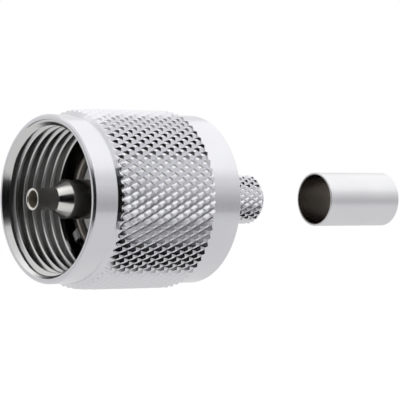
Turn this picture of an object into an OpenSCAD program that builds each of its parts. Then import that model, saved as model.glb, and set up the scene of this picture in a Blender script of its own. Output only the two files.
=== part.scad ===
// UHF cable plug with a knurled coupling nut, and the crimp ferrule that goes with it.
// Lengths are in millimetres. The plug's axis is X: the centre pin points along -X, the cable leaves along +X.
// The origin is on the axis, in the face that the jack seats on, where the centre pin leaves its insulator.
// Each piece is drawn along its own z axis, measured from the nut's front face, and then laid along X.

/* [Coupling nut] */
// Length of the coupling nut
nut_length = 18.1; // [16:0.1:24]
// Thickness of the nut's wall, from the relief behind the thread to the knurl's points
nut_wall = 1.13; // [1.05:0.01:2.5]
// Depth of the nut's knurl, from its points to where its grooves cross
knurl_depth = 0.37; // [0.2:0.01:0.42]
// Number of diamonds round the nut
knurl_count = 62; // [30:1:80]
// Angle between the knurl's grooves and the axis, in degrees
knurl_angle = 30; // [25:1:40]
// How far the smooth front band lies below the knurl's points
front_band_step = 0.65; // [0.5:0.05:0.8]
// Length of the smooth front band
front_band_length = 2.8; // [1.5:0.1:4]
// How far the smooth rear band lies below the knurl's points
rear_band_step = 0.46; // [0.45:0.01:0.8]
// Length of the smooth rear band
rear_band_length = 3.5; // [1.5:0.1:5]
// Length of the slope in which the knurl's front end runs out
knurl_front_slope = 0.35; // [0.1:0.05:0.8]
// Length of the slope in which the knurl's rear end runs out
knurl_rear_slope = 0.15; // [0.05:0.05:0.5]
// How far the knurl's points lie lower at its front end, where the nut is slightly tapered
knurl_taper = 0.2; // [0:0.01:0.25]
// Length of the taper at the knurl's front end
taper_length = 3; // [1:0.1:6]
// Chamfer on the nut's outer rear corner
nut_rear_chamfer = 0.15; // [0.1:0.05:0.5]
// Chamfer on the nut's outer front corner
nut_front_chamfer = 0.2; // [0.05:0.05:0.25]
// Width of the nut's front rim, from the mouth's countersink to the front band
front_rim = 0.5; // [0.4:0.05:0.55]

/* [Coupling thread] */
// Outside diameter of the mating thread, five eighths of an inch
thread_major_diameter = 15.875; // [15.8:0.005:16]
// Pitch of the mating thread, twenty-four to the inch
thread_pitch = 1.058; // [0.8:0.002:1.2]
// Length of the countersink that leads the mating thread in
countersink_length = 0.85; // [0.5:0.05:1.5]
// Distance from the end of the thread to the face that the jack seats on
thread_gap = 1.1; // [0.9:0.1:2]
// Clearance of the relief behind the thread
relief_clearance = 0.0825; // [0.05:0.0025:0.2]

/* [Plug body] */
// Distance from the nut's front face to the face that the jack seats on
mating_depth = 8; // [7.8:0.1:9]
// Radial clearance between the body's flange and the nut's thread
flange_clearance = 0.215; // [0.15:0.005:0.4]
// Thickness of the body's flange
flange_thickness = 1.8; // [1.4:0.1:2.4]
// Thickness of the flange's metal behind the insulator's disc
flange_back = 0.7; // [0.5:0.1:0.9]
// Chamfer on the flange's front edge
flange_chamfer = 0.2; // [0.05:0.05:0.3]
// Width of the flange's seating face, round the nose that enters the jack
seat_width = 1.2; // [0.9:0.05:1.4]
// Thickness of the nose's wall round the insulator's disc
nose_wall = 0.55; // [0.45:0.05:0.8]
// How far the nose stands in front of the flange
nose_length = 0.7; // [0.4:0.05:1]
// Chamfer on the nose's two front edges
nose_chamfer = 0.15; // [0.05:0.01:0.2]
// Number of locating teeth on the flange
tooth_count = 2; // [2:1:4]
// Width of a locating tooth
tooth_width = 1.3; // [0.8:0.1:2]
// How far a locating tooth stands in front of the flange
tooth_height = 0.65; // [0.3:0.05:0.9]
// How far the locating teeth lie turned below the horizontal, in degrees
tooth_turn = 35; // [0:1:90]
// Diameter of the barrel that the nut turns on
barrel_diameter = 10.4; // [10:0.1:10.6]
// Distance from the flange's front face to the body's rear face
body_length = 9; // [8.6:0.1:12]
// Thickness of the body's rear wall, which holds the neck
rear_wall = 1.6; // [1:0.1:2]
// Chamfer on the barrel's rear edge
barrel_chamfer = 0.3; // [0.1:0.1:0.6]
// Thickness of the barrel's metal between the ring's groove and the insulator's sleeve
barrel_wall = 0.63; // [0.3:0.01:1.2]

/* [Nut bearing and retaining ring] */
// Radial clearance between the nut's bore and the body's barrel
running_clearance = 0.05; // [0.01:0.01:0.1]
// Axial clearance left between the nut and the flange, and beside the ring
side_clearance = 0.1; // [0.05:0.01:0.2]
// How far the nut slides back along the barrel
nut_play = 0.5; // [0.1:0.1:0.8]
// Distance from the flange's rear face to the retaining ring
ring_distance = 3.4; // [2.5:0.1:3.8]
// Thickness of the retaining ring along the axis
ring_thickness = 0.8; // [0.5:0.1:1]
// Depth of the retaining ring across its section
ring_section = 0.95; // [0.8:0.05:1]
// How far the ring stands out of the barrel, into the nut
ring_reach = 0.4; // [0.2:0.05:0.5]
// Radial clearance inside and outside the ring
ring_clearance = 0.12; // [0.05:0.01:0.2]
// Width of the gap in the retaining ring
ring_gap = 1.3; // [0.6:0.1:3]
// Chamfer at the rear end of the nut's bore
bore_chamfer = 0.4; // [0.1:0.1:1]

/* [Insulator] */
// Bevel on the insulator's front edge
insulator_bevel = 0.2; // [0.05:0.05:0.4]

/* [Centre pin] */
// Diameter of the centre pin
pin_diameter = 4; // [3.6:0.05:4.4]
// Distance from the seating face to the start of the pin's cone
pin_straight = 5.75; // [5:0.05:7]
// Length of the pin's cone
cone_length = 1.4; // [1:0.1:2.5]
// Thickness of the tip tube's wall
tip_wall = 0.25; // [0.2:0.05:0.5]
// Length of the pin's tip tube
tip_length = 2.45; // [1:0.05:4]
// Bore of the pin's tip tube
tip_bore = 1.7; // [1.3:0.05:1.8]
// Depth of the wide bore, from the tip
tip_bore_depth = 3.6; // [2:0.1:6]
// Bore for the cable's inner conductor
conductor_bore = 1.2; // [0.8:0.05:1.25]
// Diameter of the pin's shank, inside the insulator
shank_diameter = 2.6; // [2.2:0.1:2.6]
// Distance from the pin's rear end to the insulator's rear end
shank_recess = 0.6; // [0.2:0.1:1]
// Chamfer on the rim of the pin's tip
tip_chamfer = 0.1; // [0.02:0.02:0.14]

/* [Crimp neck] */
// Length of the neck behind the body
neck_length = 9.2; // [6:0.1:12]
// Bore of the neck, for the cable's dielectric
neck_bore = 3.1; // [3:0.05:3.4]
// Thickness of the neck's wall under its knurl
neck_wall = 0.8; // [0.7:0.01:1.2]
// Chamfer at the mouth of the neck's bore
neck_bore_chamfer = 0.2; // [0.1:0.05:0.4]
// Chamfer on the neck's outer rear edge
neck_chamfer = 0.1; // [0.1:0.05:0.3]
// Depth of the neck's knurl
neck_knurl_depth = 0.2; // [0.1:0.01:0.25]
// Number of diamonds round the neck
neck_knurl_count = 24; // [12:1:30]
// Length of the slopes in which the neck's knurl runs out
neck_slope = 0.25; // [0.1:0.05:0.5]

/* [Crimp ferrule] */
// Length of the ferrule
ferrule_length = 9.7; // [7:0.1:12]
// Wall of the ferrule
ferrule_wall = 0.25; // [0.2:0.05:0.5]
// Radial clearance between the ferrule's bore and the neck's knurl
ferrule_clearance = 0.05; // [0.03:0.01:0.4]
// Distance from the ferrule to the body's rear face, as it lies ready to be slid on
ferrule_distance = 18.1; // [12:0.05:30]
// Rounding of the ferrule's outer edges
ferrule_edge = 0.08; // [0.02:0.01:0.1]

/* [Hidden] */
thread_major = thread_major_diameter / 2;
thread_minor = thread_major - 0.541 * thread_pitch;
thread_end = mating_depth - thread_gap;
relief = thread_major + relief_clearance;

knurl_crest = relief + nut_wall;
knurl_root = knurl_crest - knurl_depth;
front_band = knurl_crest - front_band_step;
rear_band = knurl_crest - rear_band_step;
knurl_end = nut_length - rear_band_length;
mouth = front_band - front_rim;

flange = thread_minor - flange_clearance;
flange_rear = mating_depth + flange_thickness;
shoulder = flange_rear + side_clearance;
body_rear = mating_depth + body_length;
nose = flange - seat_width;
nose_front = mating_depth - nose_length;
tooth_front = mating_depth - tooth_height;
barrel = barrel_diameter / 2;
nut_bore = barrel + running_clearance;

ring_front = flange_rear + ring_distance;
ring_rear = ring_front + ring_thickness;
ring_outside = barrel + ring_reach;
ring_inside = ring_outside - ring_section;
body_groove_floor = ring_inside - ring_clearance;
body_groove_front = ring_front - side_clearance;
body_groove_rear = ring_rear + nut_play + side_clearance;
nut_groove_floor = ring_outside + ring_clearance;
nut_groove_front = ring_front - side_clearance / 2;
nut_groove_rear = ring_rear + side_clearance / 2;

insulator = nose - nose_wall;
sleeve = body_groove_floor - barrel_wall;
disc_rear = flange_rear - flange_back;
insulator_rear = body_rear - rear_wall;

pin = pin_diameter / 2;
shank = shank_diameter / 2;
tip = tip_bore / 2 + tip_wall;
cone_base = mating_depth - pin_straight;
cone_top = cone_base - cone_length;
pin_front = cone_top - tip_length;
pin_rear = insulator_rear - shank_recess;

// The neck's knurl stands this far above its core at its ends
neck_lip = 0.05;
neck_core = neck_bore / 2 + neck_wall;
neck_root = neck_core + neck_lip;
neck = neck_root + neck_knurl_depth;
neck_rear = body_rear + neck_length;

ferrule_bore = neck + ferrule_clearance;
ferrule_outside = ferrule_bore + ferrule_wall;
ferrule_front = body_rear + ferrule_distance;

// The ends of the nut's knurl stand this far above the smooth bands
end_lip = 0.06;
// The knurl's ring reaches this far under its grooves, into the solid metal
knurl_base = 0.5;
// A locating tooth's root lies this deep in the nose and in the flange's edge
tooth_root = 0.2;
smooth = 96;

nickel = [0.78, 0.78, 0.77];
bright_nickel = [0.84, 0.84, 0.82];
ptfe = [0.93, 0.93, 0.91];
spring_bronze = [0.72, 0.56, 0.34];

// Lays a piece that is drawn along z, from the nut's front face, along the plug's axis.
module along_axis() {
  rotate([0, 90, 0])
    translate([0, 0, -mating_depth])
      children();
}

// Turns a half section, given as points of distance along the axis and radius, into a solid.
module turned(section) {
  rotate_extrude($fn = smooth)
    polygon([for (point = section) [point[1], point[0]]]);
}

// Where row k of the knurl lies: the run-out slopes come first and last, the diamonds' rows between.
function row_height(k, rows, length, front, rear) =
  k == 0 ? 0
  : k == rows + 2 ? length
  : front + (k - 1) * (length - front - rear) / rows;

// How far the points lie lower at a height above the knurl's front end.
function taper_at(height, taper) = taper * pow(max(0, 1 - height / taper_length), 2);

// Points of the knurl are high and low by turns, round the ring and from row to row.
function knurl_radius(i, k, rows, crest, root, first, last, drop) =
  k == 0 ? first
  : k == rows + 2 ? last
  : (i + k) % 2 == 0 ? root - drop / 2
  : crest - drop;

function on_ring(i, sides, radius, height) =
  [radius * cos(i * 360 / sides), radius * sin(i * 360 / sides), height];

// A ring with a diamond knurl: two crossing sets of grooves leave a four-sided pyramid in each diamond.
module diamond_knurl(count, angle, length, crest, root, base, first, last, front, rear, taper) {
  sides = 2 * count;
  half_repeat = PI * crest / count / tan(angle);
  rows = max(2, round((length - front - rear) / half_repeat));
  rings = rows + 3;
  points = concat(
    [for (k = [0 : rows + 2], i = [0 : sides - 1])
      let (height = row_height(k, rows, length, front, rear))
      on_ring(i, sides, knurl_radius(i, k, rows, crest, root, first, last, taper_at(height, taper)),
              height)],
    [for (i = [0 : sides - 1]) on_ring(i, sides, base, length)],
    [for (i = [0 : sides - 1]) on_ring(i, sides, base, 0)]
  );
  // Each four-cornered field between two rows is split along its groove
  skin = [for (k = [0 : rows + 1], i = [0 : sides - 1])
    let (j = (i + 1) % sides, a = k * sides + i, b = k * sides + j, c = b + sides, d = a + sides)
    each ((i + k) % 2 == 0 ? [[a, d, c], [a, c, b]] : [[a, d, b], [b, d, c]])];
  // The two flat ends and the inside wall
  closing = [for (k = [rings - 1 : rings + 1], i = [0 : sides - 1])
    let (j = (i + 1) % sides, from = (k % (rings + 2)) * sides, to = ((k + 1) % (rings + 2)) * sides)
    [from + i, to + i, to + j, from + j]];
  polyhedron(points = points, faces = concat(skin, closing), convexity = 4);
}

// The nut's turned blank: smooth bands, countersink, thread bore, relief, bearing bore and ring groove.
module nut_blank() {
  core = knurl_root - knurl_taper / 2 - 0.1;
  slope_start = front_band_length + knurl_front_slope;
  turned([
    [0, mouth],
    [countersink_length, thread_minor],
    [thread_end, thread_minor],
    [thread_end, relief],
    [shoulder, relief],
    [shoulder, nut_bore],
    [nut_groove_front, nut_bore],
    [nut_groove_front, nut_groove_floor],
    [nut_groove_rear, nut_groove_floor],
    [nut_groove_rear, nut_bore],
    [nut_length - bore_chamfer, nut_bore],
    [nut_length, nut_bore + bore_chamfer],
    [nut_length, rear_band - nut_rear_chamfer],
    [nut_length - nut_rear_chamfer, rear_band],
    [knurl_end - 0.5, rear_band],
    [knurl_end - 0.5, core],
    [slope_start + 0.5, core],
    [slope_start + 0.5, front_band],
    [nut_front_chamfer, front_band],
    [0, front_band - nut_front_chamfer]
  ]);
}

// The knurled coupling nut.
module coupling_nut() {
  color(nickel)
    along_axis() {
      nut_blank();
      translate([0, 0, front_band_length])
        diamond_knurl(knurl_count, knurl_angle, knurl_end - front_band_length, knurl_crest, knurl_root,
                      knurl_root - knurl_base, front_band + end_lip, rear_band + end_lip,
                      knurl_front_slope, knurl_rear_slope, knurl_taper);
    }
}

// A locating tooth is the part of a block that lies between the nose and the flange's edge.
module tooth(turn) {
  intersection() {
    turned([
      [tooth_front, nose - tooth_root],
      [mating_depth + flange_thickness / 2, nose - tooth_root],
      [mating_depth + flange_thickness / 2, flange - tooth_root / 4],
      [mating_depth, flange - tooth_root / 4],
      [tooth_front, flange - tooth_root]
    ]);
    rotate([0, 0, turn])
      translate([0, -tooth_width / 2, 0])
        cube([flange * 2, tooth_width, flange_rear]);
  }
}

// The plug's body: a nose, a flange with locating teeth and a barrel, turned in one piece.
module plug_body() {
  color(bright_nickel)
    along_axis() {
      turned([
        [nose_front, insulator + nose_chamfer],
        [nose_front + nose_chamfer, insulator],
        [disc_rear, insulator],
        [disc_rear, sleeve],
        [insulator_rear, sleeve],
        [insulator_rear, neck_core],
        [body_rear, neck_core],
        [body_rear, barrel - barrel_chamfer],
        [body_rear - barrel_chamfer, barrel],
        [body_groove_rear, barrel],
        [body_groove_rear, body_groove_floor],
        [body_groove_front, body_groove_floor],
        [body_groove_front, barrel],
        [flange_rear, barrel],
        [flange_rear, flange],
        [mating_depth + flange_chamfer, flange],
        [mating_depth, flange - flange_chamfer],
        [mating_depth, nose],
        [nose_front + nose_chamfer, nose],
        [nose_front, nose - nose_chamfer]
      ]);
      for (k = [0 : tooth_count - 1])
        tooth(90 - tooth_turn + k * 360 / tooth_count);
    }
}

// The knurled tube that the braid is crimped on, pressed into the body's rear wall.
module crimp_neck() {
  color(nickel)
    along_axis() {
      turned([
        [insulator_rear, neck_bore / 2],
        [neck_rear - neck_bore_chamfer, neck_bore / 2],
        [neck_rear, neck_bore / 2 + neck_bore_chamfer],
        [neck_rear, neck_core - neck_chamfer],
        [neck_rear - neck_chamfer, neck_core],
        [insulator_rear, neck_core]
      ]);
      translate([0, 0, body_rear])
        diamond_knurl(neck_knurl_count, knurl_angle, neck_length - neck_bore_chamfer, neck, neck_root,
                      neck_core - neck_wall / 2, neck_root, neck_root, neck_slope, neck_slope, 0);
    }
}

// The white bead that holds the centre pin, with a disc in the nose and a sleeve in the barrel.
module insulator() {
  color(ptfe)
    along_axis()
      turned([
        [mating_depth, shank],
        [insulator_rear, shank],
        [insulator_rear, sleeve],
        [disc_rear, sleeve],
        [disc_rear, insulator],
        [mating_depth + insulator_bevel, insulator],
        [mating_depth, insulator - insulator_bevel]
      ]);
}

// The hollow centre pin: tip tube, cone, straight part, and a shank in the insulator.
module centre_pin() {
  color(bright_nickel)
    along_axis()
      turned([
        [pin_front, tip_bore / 2 + tip_chamfer],
        [pin_front + tip_chamfer, tip_bore / 2],
        [pin_front + tip_bore_depth, tip_bore / 2],
        [pin_front + tip_bore_depth + 0.2, conductor_bore / 2],
        [pin_rear - 0.2, conductor_bore / 2],
        [pin_rear, conductor_bore / 2 + 0.2],
        [pin_rear, shank],
        [mating_depth, shank],
        [mating_depth, pin],
        [cone_base, pin],
        [cone_top, tip],
        [pin_front, tip]
      ]);
}

// The split spring ring that holds the nut on the barrel.
module retaining_ring() {
  color(spring_bronze)
    along_axis()
      difference() {
        turned([
          [ring_front, ring_inside],
          [ring_rear, ring_inside],
          [ring_rear, ring_outside],
          [ring_front, ring_outside]
        ]);
        translate([-barrel * 2, -ring_gap / 2, ring_front - 1])
          cube([barrel * 2, ring_gap, ring_thickness + 2]);
      }
}

// The loose sleeve that is slid over the braid and crimped.
module crimp_ferrule() {
  color(nickel)
    along_axis()
      turned([
        [ferrule_front, ferrule_bore],
        [ferrule_front + ferrule_length, ferrule_bore],
        [ferrule_front + ferrule_length, ferrule_outside - ferrule_edge],
        [ferrule_front + ferrule_length - ferrule_edge, ferrule_outside],
        [ferrule_front + ferrule_edge, ferrule_outside],
        [ferrule_front, ferrule_outside - ferrule_edge]
      ]);
}

coupling_nut();
plug_body();
crimp_neck();
insulator();
centre_pin();
retaining_ring();
crimp_ferrule();
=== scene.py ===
import math

import bmesh
import bpy
import numpy as np
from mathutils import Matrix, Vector


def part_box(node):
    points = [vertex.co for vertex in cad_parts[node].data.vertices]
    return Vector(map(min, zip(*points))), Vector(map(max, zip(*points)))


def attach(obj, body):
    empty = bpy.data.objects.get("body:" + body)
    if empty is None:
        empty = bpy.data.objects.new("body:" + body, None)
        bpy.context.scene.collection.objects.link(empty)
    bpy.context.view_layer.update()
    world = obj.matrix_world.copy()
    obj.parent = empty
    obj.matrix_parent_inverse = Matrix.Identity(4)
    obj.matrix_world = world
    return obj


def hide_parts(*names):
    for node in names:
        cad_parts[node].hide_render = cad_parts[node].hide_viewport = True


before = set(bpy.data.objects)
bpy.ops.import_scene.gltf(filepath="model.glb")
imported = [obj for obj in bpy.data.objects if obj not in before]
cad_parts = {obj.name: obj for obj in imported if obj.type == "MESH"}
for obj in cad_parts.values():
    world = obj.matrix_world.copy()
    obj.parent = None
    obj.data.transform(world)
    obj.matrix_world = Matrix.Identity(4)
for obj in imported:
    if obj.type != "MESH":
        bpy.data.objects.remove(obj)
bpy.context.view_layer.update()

mm = 0.001
print("frame loaded:", ", ".join(sorted(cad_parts)))

# Sizes are in mm. Distances along the plug count from the nut's front face, as in the part's source
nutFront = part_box("coupling_nut")[0].x / mm
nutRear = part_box("coupling_nut")[1].x / mm - nutFront
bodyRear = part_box("plug_body")[1].x / mm - nutFront
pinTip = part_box("centre_pin")[0].x / mm - nutFront
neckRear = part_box("crimp_neck")[1].x / mm - nutFront
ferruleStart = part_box("crimp_ferrule")[0].x / mm - nutFront

meshing = {
    "arcSteps": 3,           # straight pieces in a rounded corner
    "arcShare": 0.4,         # the most of a side that a corner's arc may take
    "hold": 1.2,             # how far out the extra points beside an arc lie, in lengths of its reach
    "mergeDistance": 1e-7,   # in metres
    "sharpFrom": 32,         # degrees between two faces from which their edge stays sharp
}


def toRow(points):
    # Points come as distance from the nut's front, side and height in mm, and go to metres in the
    # frame that the CAD uses
    return (np.asarray(points, float) + [nutFront, 0, 0]) * mm


def roundedLoop(corners, rounding):
    # Each corner of a closed outline becomes a short arc: a quadratic curve that starts and ends its
    # rounding before and after the corner, with one more point on each side to keep the flats flat.
    # The result has one row of points for each corner
    corner = np.asarray(corners, float)
    rounding = np.broadcast_to(np.asarray(rounding, float), (len(corner),))
    before, after = np.roll(corner, 1, 0) - corner, np.roll(corner, -1, 0) - corner
    lengthBefore = np.linalg.norm(before, axis=1)
    lengthAfter = np.linalg.norm(after, axis=1)
    longest = meshing["arcShare"] * np.minimum(lengthBefore, lengthAfter)
    reach = np.minimum(rounding, longest)[:, None]
    before, after = before / lengthBefore[:, None], after / lengthAfter[:, None]
    start, end = corner + before * reach, corner + after * reach
    t = np.linspace(0, 1, meshing["arcSteps"] + 1)[None, :, None]
    arc = (1 - t) ** 2 * start[:, None] + 2 * t * (1 - t) * corner[:, None] + t ** 2 * end[:, None]
    first = corner + before * reach * meshing["hold"]
    last = corner + after * reach * meshing["hold"]
    return np.concatenate([first[:, None], arc, last[:, None]], 1)


def ringPoints(along, radius, turn):
    # A point lies at the distance along the axis, turned by the angle about it:
    # side = radius x cos turn, height = radius x sin turn
    along, radius, turn = np.broadcast_arrays(along, radius, turn)
    return np.stack([along, radius * np.cos(turn), radius * np.sin(turn)], -1)


def splitQuads(quads):
    # A face a, b, c, d becomes the triangles a, b, c and a, c, d
    return np.concatenate([quads[:, [0, 1, 2]], quads[:, [0, 2, 3]]])


def ringFaces(rows, columns, closed=False):
    # Triangles between neighbouring rows and columns; the columns always close, the rows if asked
    v, u = np.meshgrid(np.arange(rows if closed else rows - 1), np.arange(columns), indexing="ij")
    nextV, nextU = (v + 1) % rows, (u + 1) % columns
    quads = np.stack([v * columns + u, v * columns + nextU,
                      nextV * columns + nextU, nextV * columns + u], -1)
    return splitQuads(quads.reshape(-1, 4))


def makePiece(name, shells, materials, body, replaces):
    # shells holds (points, triangles, material number of each); points that meet become one, and
    # each closed shell's faces are turned outwards
    points = toRow(np.concatenate([shell[0] for shell in shells]))
    base = np.cumsum([0] + [len(shell[0]) for shell in shells])
    triangles = np.concatenate([shell[1] + start for shell, start in zip(shells, base)])
    numbers = np.concatenate([np.broadcast_to(shell[2], (len(shell[1]),)) for shell in shells])
    mesh = bpy.data.meshes.new(name)
    mesh.vertices.add(len(points))
    mesh.vertices.foreach_set("co", points.ravel())
    mesh.loops.add(triangles.size)
    mesh.loops.foreach_set("vertex_index", triangles.ravel().astype(np.int32))
    mesh.polygons.add(len(triangles))
    mesh.polygons.foreach_set("loop_start", np.arange(0, triangles.size, 3, dtype=np.int32))
    mesh.polygons.foreach_set("material_index", numbers.astype(np.int32))
    mesh.polygons.foreach_set("use_smooth", np.full(len(triangles), True))
    mesh.update(calc_edges=True)
    mesh.validate()
    edit = bmesh.new()
    edit.from_mesh(mesh)
    bmesh.ops.remove_doubles(edit, verts=edit.verts, dist=meshing["mergeDistance"])
    bmesh.ops.recalc_face_normals(edit, faces=edit.faces)
    openEdges = sum(not edge.is_manifold for edge in edit.edges)
    edit.to_mesh(mesh)
    edit.free()
    mesh.set_sharp_from_angle(angle=math.radians(meshing["sharpFrom"]))
    for material in materials:
        mesh.materials.append(material)
    piece = bpy.data.objects.new(name, mesh)
    bpy.context.scene.collection.objects.link(piece)
    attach(piece, body)
    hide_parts(replaces)
    print("made", name, "with", len(mesh.polygons), "triangles and", openEdges, "open edges")


def turnedShell(corners, columns):
    # A closed outline is carried once round the axis. Each corner gives its distance along the axis,
    # its radius, its rounding and the material number of the faces that follow it
    corners = np.array(corners, float)
    outline = roundedLoop(corners[:, :2], corners[:, 2])
    perCorner = outline.shape[1]
    outline = outline.reshape(-1, 2)
    turn = np.arange(columns) * 2 * np.pi / columns
    points = ringPoints(outline[:, :1], outline[:, 1:], turn[None]).reshape(-1, 3)
    numbers = np.repeat(corners[:, 3].astype(int), perCorner * columns)
    return points, ringFaces(len(outline), columns, closed=True), np.tile(numbers, 2)


def linear(hexColor):
    # sRGB hex to linear light: value / 12.92 in the darkest part, else ((value + 0.055) / 1.055) ^ 2.4
    value = np.array([int(hexColor[i:i + 2], 16) for i in (1, 3, 5)]) / 255
    value = np.where(value <= 0.04045, value / 12.92, ((value + 0.055) / 1.055) ** 2.4)
    return (*[float(v) for v in value], 1.0)


def node(tree, kind, settings=(), links=(), values=()):
    # Adds a node, sets its properties and its sockets' own values, and links its inputs
    made = tree.nodes.new(kind)
    for key, value in dict(settings).items():
        setattr(made, key, value)
    for key, value in dict(values).items():
        made.inputs[key].default_value = value
    for key, source in dict(links).items():
        tree.links.new(source, made.inputs[key])
    return made


def newMaterial(name):
    material = bpy.data.materials.new(name)
    material.use_nodes = True
    material.node_tree.nodes.clear()
    return material, material.node_tree


def turningCoordinate(tree, period):
    # Distance along the axis plus distance from it, in units of the period, which is the same all
    # along a line that a lathe tool leaves
    place = node(tree, "ShaderNodeTexCoord").outputs["Object"]
    parts = node(tree, "ShaderNodeSeparateXYZ", links={"Vector": place})
    across = node(tree, "ShaderNodeCombineXYZ",
                  links={"Y": parts.outputs["Y"], "Z": parts.outputs["Z"]})
    radius = node(tree, "ShaderNodeVectorMath", {"operation": "LENGTH"}, {0: across.outputs[0]})
    total = node(tree, "ShaderNodeMath", {"operation": "ADD"},
                 {0: parts.outputs["X"], 1: radius.outputs["Value"]})
    scaled = node(tree, "ShaderNodeMath", {"operation": "DIVIDE"}, {0: total.outputs[0]},
                  {1: period * mm})
    return place, scaled.outputs[0]


def twoTones(tree, look, factor):
    # From the dark to the light colour of a finish, inputs 6 and 7 of the mix
    tone = node(tree, "ShaderNodeMix", {"data_type": "RGBA"}, {"Factor": factor},
                {6: linear(look["dark"]), 7: linear(look["light"])})
    return tone.outputs[2]


def machinedMetal(name, look):
    # Metal off a lathe, plated or bare: pale and clear, with the tool's fine rings under a slight
    # grain, and a tone that drifts a little over a few millimetres
    material, tree = newMaterial(name)
    place, turned = turningCoordinate(tree, look["ringPeriod"])
    rings = node(tree, "ShaderNodeTexNoise", {"noise_dimensions": "1D"}, {"W": turned},
                 {"Scale": 1.0, "Detail": 2.0, "Roughness": 0.6})
    grain = node(tree, "ShaderNodeTexNoise", links={"Vector": place},
                 values={"Scale": 1 / (look["grainSize"] * mm), "Detail": 3.0})
    stain = node(tree, "ShaderNodeTexNoise", links={"Vector": place},
                 values={"Scale": 1 / (look["stainSize"] * mm), "Detail": 2.0})
    spread = 0.2             # how far the roughness drifts either way, as a share of it
    rough = node(tree, "ShaderNodeMapRange", links={"Value": grain.outputs["Fac"]},
                 values={"To Min": look["roughness"] * (1 - spread),
                         "To Max": look["roughness"] * (1 + spread)})
    ringBump = node(tree, "ShaderNodeBump", links={"Height": rings.outputs["Fac"]},
                    values={"Strength": 1.0, "Distance": look["ringHeight"] * mm})
    bump = node(tree, "ShaderNodeBump",
                links={"Height": grain.outputs["Fac"], "Normal": ringBump.outputs["Normal"]},
                values={"Strength": 1.0, "Distance": look["grainHeight"] * mm})
    shader = node(tree, "ShaderNodeBsdfPrincipled",
                  links={"Base Color": twoTones(tree, look, stain.outputs["Fac"]),
                         "Roughness": rough.outputs["Result"], "Normal": bump.outputs["Normal"]},
                  values={"Metallic": 1.0})
    node(tree, "ShaderNodeOutputMaterial", links={"Surface": shader.outputs[0]})
    return material


def whiteFluoropolymer(look):
    # Turned PTFE: milky white and waxy, with faint tool rings
    material, tree = newMaterial("whiteFluoropolymer")
    place, turned = turningCoordinate(tree, look["ringPeriod"])
    rings = node(tree, "ShaderNodeTexNoise", {"noise_dimensions": "1D"}, {"W": turned},
                 {"Scale": 1.0, "Detail": 2.0})
    cloud = node(tree, "ShaderNodeTexNoise", links={"Vector": place},
                 values={"Scale": 1 / (look["cloudSize"] * mm)})
    bump = node(tree, "ShaderNodeBump", links={"Height": rings.outputs["Fac"]},
                values={"Strength": 1.0, "Distance": look["ringHeight"] * mm})
    shader = node(tree, "ShaderNodeBsdfPrincipled",
                  links={"Base Color": twoTones(tree, look, cloud.outputs["Fac"]),
                         "Normal": bump.outputs["Normal"]},
                  values={"Roughness": look["roughness"], "IOR": look["ior"]})
    node(tree, "ShaderNodeOutputMaterial", links={"Surface": shader.outputs[0]})
    return material


# Periods, sizes and heights are in mm. Real tool lines and grain are finer than a pixel, so they are
# drawn as coarse as they need to be to show
finishes = {
    # Nickel on turned brass: a soft sheen with fine lines round the bands
    "turnedNickel": {"dark": "#c9c9cd", "light": "#d5d5d8", "roughness": 0.24, "ringPeriod": 0.17,
                     "ringHeight": 0.008, "grainSize": 0.25, "grainHeight": 0.0006, "stainSize": 6},
    # Nickel on rolled knurling: bright facets with a fine uneven grain and no lines
    "knurledNickel": {"dark": "#cbcbcf", "light": "#d7d7da", "roughness": 0.2, "ringPeriod": 0.3,
                      "ringHeight": 0.0005, "grainSize": 0.14, "grainHeight": 0.0022, "stainSize": 5},
    # Nickel on the cut thread: smooth flanks that mirror in narrow streaks
    "threadNickel": {"dark": "#c4c4c4", "light": "#cfcfce", "roughness": 0.2, "ringPeriod": 0.12,
                     "ringHeight": 0.001, "grainSize": 0.2, "grainHeight": 0.001, "stainSize": 4},
    # Nickel on the pin: bright and slightly warm
    "pinNickel": {"dark": "#cfcecb", "light": "#dad8d4", "roughness": 0.2, "ringPeriod": 0.09,
                  "ringHeight": 0.0008, "grainSize": 0.2, "grainHeight": 0.0008, "stainSize": 3},
    # Nickel inside the pin's bore: warm, light and rough, with no clear reflection
    "boreNickel": {"dark": "#cfc9be", "light": "#dcd6cc", "roughness": 0.5, "ringPeriod": 0.1,
                   "ringHeight": 0.003, "grainSize": 0.15, "grainHeight": 0.003, "stainSize": 1},
    # Nickel outside the ferrule: an even satin with broad highlights
    "satinNickel": {"dark": "#cfcfd2", "light": "#d8d8da", "roughness": 0.34, "ringPeriod": 0.5,
                    "ringHeight": 0.0005, "grainSize": 0.12, "grainHeight": 0.002, "stainSize": 4},
    # Dull nickel on the nose, the flange and the ferrule's bore: dark warm grey, partly painted shade,
    # that mirrors dimly
    "shadedDullNickel": {"dark": "#6f6a66", "light": "#8c8782", "roughness": 0.22, "ringPeriod": 0.12,
                   "ringHeight": 0.003, "grainSize": 0.2, "grainHeight": 0.001, "stainSize": 3},
    # Bare phosphor bronze: warm brown gold
    "springBronze": {"dark": "#a8794a", "light": "#c39562", "roughness": 0.3, "ringPeriod": 0.1,
                     "ringHeight": 0.001, "grainSize": 0.2, "grainHeight": 0.001, "stainSize": 3},
}
metals = {name: machinedMetal(name, look) for name, look in finishes.items()}
ptfe = whiteFluoropolymer({"dark": "#e9e8ea", "light": "#f4f3f2", "roughness": 0.42, "ior": 1.35,
                           "ringPeriod": 0.12, "ringHeight": 0.001, "cloudSize": 2})
print("materials ready")


def knurlRadius(size, along, height):
    # The points stand at the crest and the grooves a depth below it. Towards the front end both lie
    # lower by the taper times the squared share of its length, the grooves half as much. Nothing
    # stands over the 45 degree cone that leads up to the knurl
    left = np.clip(1 - (along - size["coneStart"]) / size["taperLength"], 0, 1)
    drop = size["taper"] * left ** 2
    radius = size["crest"] - drop - (size["knurlDepth"] - drop / 2) * (1 - height)
    return np.minimum(radius, size["plainRadius"] + (along - size["coneStart"]))


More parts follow.
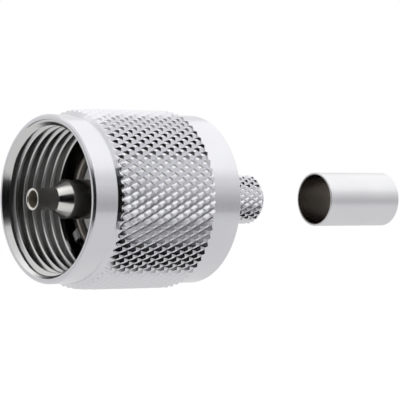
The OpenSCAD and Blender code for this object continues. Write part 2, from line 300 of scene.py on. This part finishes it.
def knurlTiles(size):
    # A square spans half a diamond round (u) and along (v). Deep grooves run where u + v is even, and
    # the height over them rises evenly to 1 at the share flatTop; the others run where u - v is even,
    # with their floor raised by the share shallow. Above the height of 1 the points are flat
    flat, raised = size["flatTop"], size["shallow"]
    near, far = raised / 2, flat - raised / 2
    floor = raised / flat
    # Points are (u, v, height): first those round the square's edge, then those inside it
    deep = np.array([(0, 0, 0), (flat, 0, 1), (1, 0, 1), (1, 1 - flat, 1), (1, 1, 0), (1 - flat, 1, 1),
                     (0, 1, 1), (0, flat, 1)])
    inner = np.array([(far, near, 1), (1 - near, 1 - far, 1), (near, near, floor),
                      (1 - near, 1 - near, floor), (near, far, 1), (1 - far, 1 - near, 1)])
    crossed = np.concatenate([deep, inner])
    crossedFaces = np.array([(1, 2, 8), (2, 9, 8), (2, 3, 9), (0, 1, 8), (0, 8, 10), (0, 10, 12),
                             (0, 12, 7), (4, 5, 13), (4, 13, 11), (4, 11, 9), (4, 9, 3), (10, 8, 9),
                             (10, 9, 11), (10, 11, 13), (10, 13, 12), (7, 12, 6), (12, 13, 6),
                             (13, 5, 6)])
    mirrored = deep * [-1, 1, 1] + [1, 0, 0]
    mirroredFaces = np.array([(3, 2, 1), (3, 1, 0), (4, 3, 0), (5, 4, 0), (7, 5, 0), (7, 6, 5)])
    sides, rows = 2 * size["knurlCount"], size["latticeRows"]
    i, j = np.meshgrid(np.arange(sides), np.arange(rows), indexing="ij")
    points, faces, base = [], [], 0
    for template, triangles, wanted in ((crossed, crossedFaces, 0), (mirrored, mirroredFaces, 1)):
        corner = np.stack([i, j, i * 0], -1)[(i + j) % 2 == wanted]
        points.append((corner[:, None] + template[None]).reshape(-1, 3))
        starts = np.arange(len(corner))[:, None, None] * len(template) + base
        faces.append((triangles[None] + starts).reshape(-1, 3))
        base += len(points[-1])
    u, v, height = np.concatenate(points).T
    along = size["latticeStart"] + v * (size["latticeEnd"] - size["latticeStart"]) / rows
    radius = knurlRadius(size, along, height)
    return ringPoints(along, radius, u * 2 * np.pi / sides), np.concatenate(faces)


def knurlColumns(size):
    # The angles of the squares' edge points along a row of crossings, and the height there
    flat, count = size["flatTop"], size["knurlCount"]
    u = (np.arange(count)[:, None] * 2 + np.array([0, flat, 1, 2 - flat])[None]).ravel()
    return u * 2 * np.pi / (2 * count), np.tile([0.0, 1.0, 1.0, 1.0], count)


def knurledShell(size, along, radius, numbers, partner):
    # A strip of rows runs from the knurl's rear end round the inside to its front end. At the seam
    # each row meets its partner, which is the row itself or, on a thread, the same crest one turn on
    turn, height = knurlColumns(size)
    columns = len(turn)
    rearEnd, frontEnd = size["latticeEnd"], size["latticeStart"]
    rearRadius, frontRadius = knurlRadius(size, rearEnd, height), knurlRadius(size, frontEnd, height)
    coneTop = size["coneStart"] + frontRadius - size["plainRadius"]
    along = np.concatenate([np.full((1, columns), rearEnd), along, np.minimum(coneTop, frontEnd)[None],
                            np.full((1, columns), frontEnd)])
    radius = np.concatenate([rearRadius[None], radius, frontRadius[None], frontRadius[None]])
    partner = np.concatenate([[0], partner + 1, [len(along) - 2, len(along) - 1]])
    row, column = np.meshgrid(np.arange(len(along) - 1), np.arange(columns), indexing="ij")
    last = column == columns - 1
    nextColumn = (column + 1) % columns
    nextHere = np.where(last, partner[row], row) * columns + nextColumn
    nextThere = np.where(last, partner[row + 1], row + 1) * columns + nextColumn
    here, there = row * columns + column, (row + 1) * columns + column
    quads = np.stack([here, nextHere, nextThere, there], -1).reshape(-1, 4)
    knurled = [1]            # the strip's first and last faces take the knurl's finish
    stripNumbers = np.tile(np.repeat(np.concatenate([knurled, numbers, knurled]), columns), 2)
    strip = ringPoints(along, radius, turn[None]).reshape(-1, 3)
    tiles, tileFaces = knurlTiles(size)
    return [(strip, splitQuads(quads), stripNumbers), (tiles, tileFaces, 1)]


nut = {
    "plainRadius": 8.5,      # of the smooth front band
    "coneStart": 2.8,        # where the front band ends and the cone up to the knurl starts
    "crest": 9.15,           # radius over the knurl's points
    "knurlDepth": 0.31,
    "knurlCount": 62,        # diamonds round the nut
    "latticeStart": 3.15,    # where the first row of groove crossings lies
    "latticeRows": 14,       # half diamonds along the nut
    "latticeEnd": 14.45,
    "knurlEnd": 14.6,
    "flatTop": 0.77,         # share of the way up to the full pyramid at which the points are flat
    "shallow": 0.18,         # how much less deep the second set of grooves is
    "taper": 0.2,            # how much lower the knurl's points lie at its front end
    "taperLength": 3.0,
    "rearBand": 8.69,
    "rearChamfer": 0.15,
    "frontChamfer": 0.2,
    "frontRim": 0.5,         # width of the front rim, from the countersink to the front band
    "countersink": 0.85,     # how deep the countersink reaches
    "threadMajor": 7.95,
    "threadMinor": 7.37,
    "threadPitch": 1.058,
    "threadStart": 1.45,     # where the first full crest lies on the side that points to +Y
    "threadFront": 0.12,     # where the rows that follow the thread begin, on the countersink
    "crestHalf": 0.125,      # half the crest's width, in pitches
    "flank": 0.3125,         # a flank's width, in pitches
    "relief": 8.0175,
    "reliefStart": 6.9,
    "reliefEdge": 0.06,      # from the last row of the thread to the relief's wall
    "shoulder": 9.9,
    "bore": 5.25,
    "ringGroove": (13.15, 14.05, 5.72),   # front, rear and floor radius
    "boreChamfer": 0.4,
}


def threadRows(size, turn):
    # Rows that follow the right-hand helix: the distance along grows by a pitch a turn. The radius is
    # the minor one across the crest, rises evenly over the flank to the major one, and is never below
    # the countersink's cone
    pitch, depth = size["threadPitch"], size["threadMajor"] - size["threadMinor"]
    phases = np.array([-0.5, -0.4375, -0.37, -0.29, -0.21, -0.135, -0.115, 0, 0.115, 0.135, 0.21, 0.29,
                       0.37, 0.4375])   # the rows of one turn, in pitches from its crest
    front, rear = size["threadFront"], size["reliefStart"]
    highest = math.ceil((rear - size["threadStart"]) / pitch + 0.5)
    lowest = math.floor((front - size["threadStart"]) / pitch - 0.5)
    crests = np.arange(lowest, highest + 1)[::-1]
    start = size["threadStart"] + (crests[:, None] + phases[::-1][None]).reshape(-1, 1) * pitch
    along = np.clip(start + turn[None] / (2 * np.pi) * pitch, front, rear)
    phase = (along - size["threadStart"]) / pitch - turn[None] / (2 * np.pi)
    phase = np.abs(phase - np.round(phase))
    thread = size["threadMinor"] + depth * np.clip((phase - size["crestHalf"]) / size["flank"], 0, 1)
    mouth = size["plainRadius"] - size["frontRim"]
    cone = mouth - (mouth - size["threadMinor"]) * along / size["countersink"]
    return along, np.maximum(thread, cone), len(phases)


def makeNut(size):
    mouth = size["plainRadius"] - size["frontRim"]
    grooveFront, grooveRear, grooveFloor = size["ringGroove"]
    # Distance along, radius and rounding. The first and the last corner are the knurl's neighbours and
    # stay sharp, and the countersink's inner corner gives way to the thread
    corners = np.array([
        [size["knurlEnd"], size["rearBand"], 0],
        [nutRear - size["rearChamfer"], size["rearBand"], 0.04],
        [nutRear, size["rearBand"] - size["rearChamfer"], 0.04],
        [nutRear, size["bore"] + size["boreChamfer"], 0.04],
        [nutRear - size["boreChamfer"], size["bore"], 0.04],
        [grooveRear, size["bore"], 0.02],
        [grooveRear, grooveFloor, 0.02],
        [grooveFront, grooveFloor, 0.02],
        [grooveFront, size["bore"], 0.02],
        [size["shoulder"], size["bore"], 0.05],
        [size["shoulder"], size["relief"], 0.08],
        [size["reliefStart"] + size["reliefEdge"], size["relief"], 0.02],
        [size["countersink"], size["threadMinor"], 0],
        [0, mouth, 0.03],
        [0, size["plainRadius"] - size["frontChamfer"], 0.04],
        [size["frontChamfer"], size["plainRadius"], 0.05],
        [size["coneStart"], size["plainRadius"], 0],
    ])
    turn, _ = knurlColumns(size)
    rounded = roundedLoop(corners[:, :2], corners[:, 2])
    perCorner, columns = rounded.shape[1], len(turn)
    behind = np.concatenate([corners[:1, :2], rounded[1:-5].reshape(-1, 2)])
    ahead = np.concatenate([rounded[-4:-1].reshape(-1, 2), corners[-1:, :2]])
    threadAlong, threadRadius, perTurn = threadRows(size, turn)
    along = np.concatenate([np.repeat(behind[:, :1], columns, 1), threadAlong,
                            np.repeat(ahead[:, :1], columns, 1)])
    radius = np.concatenate([np.repeat(behind[:, 1:], columns, 1), threadRadius,
                             np.repeat(ahead[:, 1:], columns, 1)])
    row = np.arange(len(along))
    threadFrom, threadTo = len(behind), len(behind) + len(threadAlong)
    onThread = (row >= threadFrom) & (row < threadTo)
    partner = np.where(onThread, np.maximum(row - perTurn, threadFrom), row)
    turned, knurled, cut = 0, 1, 2   # the relief's two corners have the thread's finish too
    numbers = np.where((row >= threadFrom - 2 * perCorner) & (row < threadTo), cut, turned)
    numbers[-1] = knurled
    makePiece("coupling_nut_detailed", knurledShell(size, along, radius, numbers, partner),
              [metals["turnedNickel"], metals["knurledNickel"], metals["threadNickel"]],
              "nut", "coupling_nut")


makeNut(nut)

plugBody = {
    "noseFront": 7.3,
    "noseChamfer": 0.15,
    "seat": 8.0,             # the flange's face, where the jack's rim rests
    "flangeRear": 9.8,
    "flangeChamfer": 0.2,
    "discRear": 9.1,         # end of the wide bore that holds the insulator's disc
    "insulatorRear": 15.4,
    "noseRadius": 5.95,
    "flangeRadius": 7.15,
    "barrelRadius": 5.2,
    "barrelChamfer": 0.3,
    "discRadius": 5.4,
    "sleeveRadius": 3.9,
    "neckHole": 2.35,
    "groove": (13.1, 14.6, 4.53),   # front, rear and floor radius
    "edge": 0.03,            # rounding of the corners
    "columns": 192,
    "toothWidth": 1.3,
    "toothHeight": 0.65,
    "toothBevel": 0.12,
    "toothSink": 0.1,        # how far it reaches into the nose
    "toothRim": 0.06,        # how far it stays inside the flange's edge
    "toothRoot": 0.2,        # how far it reaches into the flange
    "toothGrid": 9,          # points across and out
    "toothTurn": 35,         # degrees below the horizontal
}


def toothShell(size, turnDegrees):
    # A block on a flat grid of width and radius. Within the bevel of an edge its top follows a quarter
    # circle: bevel x (1 - the root of 1 - share squared)
    n, bevel, width = size["toothGrid"], size["toothBevel"], size["toothWidth"] / 2
    across, out = np.meshgrid(np.linspace(-1, 1, n), np.linspace(0, 1, n))
    inner, outer = size["noseRadius"] - size["toothSink"], size["flangeRadius"] - size["toothRim"]
    edge = np.minimum((1 - np.abs(across)) * width, (1 - out) * (outer - inner))
    share = np.clip(1 - edge / bevel, 0, 1)
    top = size["seat"] - size["toothHeight"] + bevel * (1 - np.sqrt(np.clip(1 - share ** 2, 0, 1)))
    root = np.full_like(top, size["seat"] + size["toothRoot"])
    side = across * width
    reach = np.sqrt((inner + out * (outer - inner)) ** 2 - side ** 2)
    points = np.concatenate([np.stack([level, reach, side], -1).reshape(-1, 3) for level in (top, root)])
    grid = np.arange(n * n).reshape(n, n)
    lid = np.stack([grid[:-1, :-1], grid[:-1, 1:], grid[1:, 1:], grid[1:, :-1]], -1).reshape(-1, 4)
    rim = np.concatenate([grid[0, :-1], grid[:-1, -1], grid[-1, :0:-1], grid[:0:-1, 0]])
    following = np.roll(rim, -1)
    walls = np.stack([rim, rim + n * n, following + n * n, following], -1)
    faces = np.concatenate([lid, lid[:, ::-1] + n * n, walls])
    angle = math.radians(-turnDegrees)
    spin = np.array([[1, 0, 0],
                     [0, math.cos(angle), -math.sin(angle)],
                     [0, math.sin(angle), math.cos(angle)]])
    return points @ spin.T, splitQuads(faces), 0


def makeBody(size):
    grooveFront, grooveRear, grooveFloor = size["groove"]
    noseFront, nose = size["noseFront"], size["noseChamfer"]
    seat, flange, barrel = size["seat"], size["flangeChamfer"], size["barrelChamfer"]
    # The nose and the flange take the dull nickel whose dark grey is partly painted shade
    edge, bright, shadedDull = size["edge"], 0, 1
    shell = turnedShell([
        [noseFront, size["discRadius"] + nose, edge, shadedDull],
        [noseFront + nose, size["discRadius"], edge, shadedDull],
        [size["discRear"], size["discRadius"], edge, bright],
        [size["discRear"], size["sleeveRadius"], edge, bright],
        [size["insulatorRear"], size["sleeveRadius"], edge, bright],
        [size["insulatorRear"], size["neckHole"], edge, bright],
        [bodyRear, size["neckHole"], edge, bright],
        [bodyRear, size["barrelRadius"] - barrel, edge, bright],
        [bodyRear - barrel, size["barrelRadius"], edge, bright],
        [grooveRear, size["barrelRadius"], edge, bright],
        [grooveRear, grooveFloor, edge, bright],
        [grooveFront, grooveFloor, edge, bright],
        [grooveFront, size["barrelRadius"], edge, bright],
        [size["flangeRear"], size["barrelRadius"], edge, bright],
        [size["flangeRear"], size["flangeRadius"], edge, shadedDull],
        [seat + flange, size["flangeRadius"], edge, shadedDull],
        [seat, size["flangeRadius"] - flange, edge, shadedDull],
        [seat, size["noseRadius"], edge, shadedDull],
        [noseFront + nose, size["noseRadius"], edge, shadedDull],
        [noseFront, size["noseRadius"] - nose, edge, shadedDull],
    ], size["columns"])
    teeth = [toothShell(size, size["toothTurn"] + turn) for turn in (0, 180)]
    makePiece("plug_body_turned", [shell, *teeth], [metals["turnedNickel"], metals["shadedDullNickel"]],
              "plug", "plug_body")


makeBody(plugBody)

# The insulator: a disc round the pin with a long sleeve behind it
bead = {"front": 8.0, "bevel": 0.2, "discRadius": 5.4, "discRear": 9.1, "sleeveRadius": 3.9,
        "rear": 15.4, "bore": 1.3, "edge": 0.04, "columns": 160}


def makeInsulator(size):
    edge, white = size["edge"], 0
    shell = turnedShell([
        [size["front"], size["bore"], edge, white],
        [size["rear"], size["bore"], edge, white],
        [size["rear"], size["sleeveRadius"], edge, white],
        [size["discRear"], size["sleeveRadius"], edge, white],
        [size["discRear"], size["discRadius"], edge, white],
        [size["front"] + size["bevel"], size["discRadius"], edge, white],
        [size["front"], size["discRadius"] - size["bevel"], edge, white],
    ], size["columns"])
    makePiece("insulator_bead", [shell], [ptfe], "plug", "insulator")


makeInsulator(bead)

pin = {
    "radius": 2.0,
    "seat": 8.0,             # where the thick part ends, on the insulator
    "coneBase": 2.25,
    "coneTop": 0.85,
    "tipRadius": 1.1,
    "tipBore": 0.85,
    "rimChamfer": 0.1,
    "wideBoreDepth": 3.6,    # from the tip to the step down to the bore for the wire
    "step": 0.2,             # length of that step
    "wireBore": 0.6,
    "shank": 1.3,
    "rear": 14.8,
    "rearChamfer": 0.2,
    "columns": 128,
}


def makePin(size):
    boreEnd, rear = pinTip + size["wideBoreDepth"], size["rear"]
    bright, bore = 0, 1
    shell = turnedShell([
        [pinTip, size["tipBore"] + size["rimChamfer"], 0.03, bright],
        [pinTip + size["rimChamfer"], size["tipBore"], 0.04, bore],
        [boreEnd, size["tipBore"], 0.04, bore],
        [boreEnd + size["step"], size["wireBore"], 0.04, bore],
        [rear - size["rearChamfer"], size["wireBore"], 0.04, bore],
        [rear, size["wireBore"] + size["rearChamfer"], 0.04, bright],
        [rear, size["shank"], 0.04, bright],
        [size["seat"], size["shank"], 0.02, bright],
        [size["seat"], size["radius"], 0.02, bright],
        [size["coneBase"], size["radius"], 0.12, bright],
        [size["coneTop"], size["tipRadius"], 0.12, bright],
        [pinTip, size["tipRadius"], 0.05, bright],
    ], size["columns"])
    makePiece("centre_pin_hollow", [shell], [metals["pinNickel"], metals["boreNickel"]],
              "plug", "centre_pin")


makePin(pin)

# The crimp neck. Its knurl has the same values as the nut's, and doesn't taper
neck = {"plainRadius": 2.35, "coneStart": 17.0, "crest": 2.6, "knurlDepth": 0.24, "knurlCount": 24,
        "latticeStart": 17.25, "latticeRows": 14, "latticeEnd": 25.75, "knurlEnd": 26.0,
        "flatTop": 0.8, "shallow": 0.12, "taper": 0.0, "taperLength": 1.0, "front": 15.4, "bore": 1.55,
        "boreChamfer": 0.2, "chamfer": 0.1, "edge": 0.03}


def makeNeck(size):
    # The first and the last corner are the knurl's neighbours and stay sharp
    corners = [
        [size["knurlEnd"], size["plainRadius"]],
        [neckRear - size["chamfer"], size["plainRadius"]],
        [neckRear, size["plainRadius"] - size["chamfer"]],
        [neckRear, size["bore"] + size["boreChamfer"]],
        [neckRear - size["boreChamfer"], size["bore"]],
        [size["front"], size["bore"]],
        [size["front"], size["plainRadius"]],
        [bodyRear, size["plainRadius"]],
    ]
    rounded = roundedLoop(corners, size["edge"])
    outline = np.concatenate([corners[:1], rounded[1:-1].reshape(-1, 2), corners[-1:]])
    turn, _ = knurlColumns(size)
    along, radius = (np.repeat(outline[:, [part]], len(turn), 1) for part in (0, 1))
    turned = np.zeros(len(outline), int)
    shells = knurledShell(size, along, radius, turned, np.arange(len(outline)))
    makePiece("crimp_neck_knurled", shells, [metals["turnedNickel"], metals["knurledNickel"]],
              "plug", "crimp_neck")


makeNeck(neck)

# The retaining ring, with its gap at the top
ring = {"front": 13.2, "rear": 14.0, "inside": 4.65, "outside": 5.6, "gap": 1.3, "edge": 0.06,
        "steps": 120}


def makeRing(size):
    # The ring's section is carried from one side of the gap round to the other, and a fan of triangles
    # about its middle closes each end
    outline = roundedLoop([
        [size["front"], size["inside"]],
        [size["rear"], size["inside"]],
        [size["rear"], size["outside"]],
        [size["front"], size["outside"]],
    ], size["edge"]).reshape(-1, 2)
    half = math.asin(size["gap"] / 2 / size["inside"])
    turn = np.linspace(math.pi / 2 + half, math.pi / 2 + 2 * math.pi - half, size["steps"] + 1)
    points = ringPoints(outline[None, :, 0], outline[None, :, 1], turn[:, None])
    n, last = len(outline), size["steps"] * len(outline)
    points = np.concatenate([points.reshape(-1, 3), points[[0, -1]].mean(1)])
    k = np.arange(n)
    nextK = (k + 1) % n
    startCap = np.stack([np.full(n, len(points) - 2), nextK, k], -1)
    endCap = np.stack([np.full(n, len(points) - 1), last + k, last + nextK], -1)
    faces = np.concatenate([ringFaces(len(turn), n), startCap, endCap])
    makePiece("retaining_ring_split", [(points, faces, 0)], [metals["springBronze"]],
              "ring", "retaining_ring")


makeRing(ring)

# The crimp ferrule: a plain sleeve
ferrule = {"length": 9.7, "bore": 2.65, "outside": 2.9, "edge": 0.08, "columns": 160}


def makeFerrule(size):
    start, end, edge = ferruleStart, ferruleStart + size["length"], size["edge"]
    # The bore takes the dull nickel whose dark grey is partly painted shade
    satin, shadedDull = 0, 1
    shell = turnedShell([
        [start, size["bore"], edge, shadedDull],
        [end, size["bore"], edge, satin],
        [end, size["outside"], edge, satin],
        [start, size["outside"], edge, satin],
    ], size["columns"])
    makePiece("crimp_ferrule_sleeve", [shell], [metals["satinNickel"], metals["shadedDullNickel"]],
              "ferrule", "crimp_ferrule")


makeFerrule(ferrule)

camera = {
    "turn": 52.4,            # degrees between the plug's axis and the line of sight
    "distance": 247.3,       # mm to the middle of the nut's front face
    "focal": 2478.0,         # pixels, for the 400 pixel frame
    "nutFrontAt": (45.56, 199.15),   # where the middle of the nut's front face shows
    "frame": 400.0,
    "clip": (0.01, 20),      # nearest and farthest that shows, in metres
}


def placeCamera(look):
    # The camera looks level, and stands off to the side by what brings the nut's front to its pixel
    turn = math.radians(look["turn"])
    sight = Vector((math.cos(turn), math.sin(turn), 0))
    right = Vector((math.sin(turn), -math.cos(turn), 0))
    up = Vector((0, 0, 1))
    perPixel = look["distance"] / look["focal"]
    sideways = (look["nutFrontAt"][0] - look["frame"] / 2) * perPixel
    upwards = (look["frame"] / 2 - look["nutFrontAt"][1]) * perPixel
    target = Vector((nutFront, 0, 0))
    place = target - right * sideways - up * upwards - sight * look["distance"]
    data = bpy.data.cameras.new("camera")
    data.lens = look["focal"] / look["frame"] * data.sensor_width
    data.clip_start, data.clip_end = look["clip"]
    made = bpy.data.objects.new("camera", data)
    bpy.context.scene.collection.objects.link(made)
    made.location = place * mm
    made.rotation_mode = "QUATERNION"
    made.rotation_quaternion = sight.to_track_quat("-Z", "Y")
    bpy.context.scene.camera = made


placeCamera(camera)
print("camera placed")

studio = {
    "worldLight": 0.55,      # strength that the pale surround gives the object
    "floorHeight": -110.0,   # below the plug's axis
    "floorReach": 4000,      # from its middle to each side
    "floorTone": "#f4f4f4",
    "floorSeen": 0.85,       # share of glow in the floor that the camera sees
    "floorMirrored": 0.6,    # share of glow in the floor that metal mirrors
    "floorGlow": 1.1,
    "cloths": {              # tone, and the share of a card over which it fades out
        "blackCard": ("#0b0b0c", 0.25),
        "darkCard": ("#5e5e62", 0.6),
        "sideCard": ("#68686c", 0.4),
        "greyCard": ("#b9b9bd", 0.9),
    },
    "cards": [               # name, azimuth and elevation in degrees, distance, width, height, cloth
        ("flag_front", -42, 0, 230, 360, 300, "blackCard"),
        ("flag_middle", 2, -1, 240, 130, 230, "blackCard"),
        ("shade_above", 8, 36, 260, 150, 150, "darkCard"),
        ("shade_left", -106, 0, 170, 210, 212, "sideCard"),
        ("grey_right", 39, -15, 440, 340, 600, "greyCard"),
    ],
    "softbox": ((180, -20, 480), (900, 1000), 1.15),   # place, width and height, power in watts
}


def makeStageMesh(name, points, faces, material, shown):
    # What isn't shown is there for reflections alone
    mesh = bpy.data.meshes.new(name)
    mesh.from_pydata([tuple(p) for p in np.asarray(points) * mm], [], [tuple(f) for f in faces])
    mesh.materials.append(material)
    made = bpy.data.objects.new(name, mesh)
    bpy.context.scene.collection.objects.link(made)
    for ray in ("camera", "diffuse", "shadow", "transmission", "volume_scatter"):
        setattr(made, "visible_" + ray, shown)
    return made


def paleWorld(look):
    # White where the camera, a reflection or a transmitted ray sees it, and weaker as light
    world = bpy.data.worlds.new("paleSurround")
    world.use_nodes = True
    tree = world.node_tree
    tree.nodes.clear()
    path = node(tree, "ShaderNodeLightPath")
    seen = node(tree, "ShaderNodeMath", {"operation": "MAXIMUM"},
                {0: path.outputs["Is Camera Ray"], 1: path.outputs["Is Glossy Ray"]})
    seen = node(tree, "ShaderNodeMath", {"operation": "MAXIMUM"},
                {0: seen.outputs[0], 1: path.outputs["Is Transmission Ray"]})
    light, white = (node(tree, "ShaderNodeBackground", values={"Color": linear("#ffffff"), "Strength": s})
                    for s in (look["worldLight"], 1.0))
    mix = node(tree, "ShaderNodeMixShader",
               links={0: seen.outputs[0], 1: light.outputs[0], 2: white.outputs[0]})
    node(tree, "ShaderNodeOutputWorld", links={"Surface": mix.outputs[0]})
    bpy.context.scene.world = world


def floorMaterial(look):
    # Pale studio floor: the camera sees mostly backdrop white with a faint shadow, and metal sees it
    # a little dimmer
    material, tree = newMaterial("paleFloor")
    path = node(tree, "ShaderNodeLightPath")
    seen = node(tree, "ShaderNodeMath", {"operation": "MULTIPLY"}, {0: path.outputs["Is Camera Ray"]},
                {1: look["floorSeen"]})
    share = node(tree, "ShaderNodeMath", {"operation": "MULTIPLY_ADD"},
                 {0: path.outputs["Is Glossy Ray"], 2: seen.outputs[0]}, {1: look["floorMirrored"]})
    matt = node(tree, "ShaderNodeBsdfDiffuse", values={"Color": linear(look["floorTone"])})
    glow = node(tree, "ShaderNodeEmission",
                values={"Color": linear("#ffffff"), "Strength": look["floorGlow"]})
    mix = node(tree, "ShaderNodeMixShader",
               links={0: share.outputs[0], 1: matt.outputs[0], 2: glow.outputs[0]})
    node(tree, "ShaderNodeOutputMaterial", links={"Surface": mix.outputs[0]})
    return material


def softCard(name, tone, fade):
    # A cloth card that fades out towards its edges: solid up to the share 1 - fade of the way from its
    # middle to its edge, then a smooth step down to clear
    material, tree = newMaterial(name)
    place = node(tree, "ShaderNodeUVMap").outputs["UV"]
    centred = node(tree, "ShaderNodeVectorMath", {"operation": "SUBTRACT"}, {0: place},
                   {1: (0.5, 0.5, 0)})
    apart = node(tree, "ShaderNodeVectorMath", {"operation": "ABSOLUTE"}, {0: centred.outputs[0]})
    parts = node(tree, "ShaderNodeSeparateXYZ", links={"Vector": apart.outputs[0]})
    farther = node(tree, "ShaderNodeMath", {"operation": "MAXIMUM"},
                   {0: parts.outputs["X"], 1: parts.outputs["Y"]})
    solid = node(tree, "ShaderNodeMapRange", {"interpolation_type": "SMOOTHSTEP"},
                 {"Value": farther.outputs[0]},
                 {"From Min": 0.5 * (1 - fade), "From Max": 0.5, "To Min": 1.0, "To Max": 0.0})
    clear = node(tree, "ShaderNodeBsdfTransparent")
    cloth = node(tree, "ShaderNodeEmission", values={"Color": linear(tone), "Strength": 1.0})
    mix = node(tree, "ShaderNodeMixShader",
               links={0: solid.outputs["Result"], 1: clear.outputs[0], 2: cloth.outputs[0]})
    node(tree, "ShaderNodeOutputMaterial", links={"Surface": mix.outputs[0]})
    return material


def makeCard(name, azimuth, elevation, distance, width, height, material):
    # A flat card square to the line from the frame's origin; azimuth 0 is towards -Y, 90 towards +X
    a, e = math.radians(azimuth), math.radians(elevation)
    out = np.array([math.sin(a) * math.cos(e), -math.cos(a) * math.cos(e), math.sin(e)])
    side = np.array([math.cos(a), math.sin(a), 0])
    rise = np.cross(out, side) * -1
    centre = out * distance
    corners = [centre + side * x * width / 2 + rise * y * height / 2
               for x, y in ((-1, -1), (1, -1), (1, 1), (-1, 1))]
    made = makeStageMesh(name, corners, [(0, 1, 2, 3)], material, shown=False)
    layer = made.data.uv_layers.new(name="card")
    layer.data.foreach_set("uv", np.array([0, 0, 1, 0, 1, 1, 0, 1], float))


def areaLight(name, place, size, power):
    data = bpy.data.lights.new(name, "AREA")
    data.shape = "RECTANGLE"
    data.size, data.size_y = size[0] * mm, size[1] * mm
    data.energy = power
    made = bpy.data.objects.new(name, data)
    bpy.context.scene.collection.objects.link(made)
    made.location = Vector(place) * mm
    made.rotation_mode = "QUATERNION"
    made.rotation_quaternion = (-Vector(place)).to_track_quat("-Z", "Y")


def makeStudio(look):
    paleWorld(look)
    r, h = look["floorReach"], look["floorHeight"]
    makeStageMesh("studio_floor", [(-r, -r, h), (r, -r, h), (r, r, h), (-r, r, h)], [(0, 1, 2, 3)],
                  floorMaterial(look), shown=True)
    cloths = {name: softCard(name, tone, fade) for name, (tone, fade) in look["cloths"].items()}
    for *card, cloth in look["cards"]:
        makeCard(*card, cloths[cloth])
    areaLight("top_softbox", *look["softbox"])


makeStudio(studio)
scene = bpy.context.scene
scene.view_settings.view_transform = "Standard"
print("studio ready")
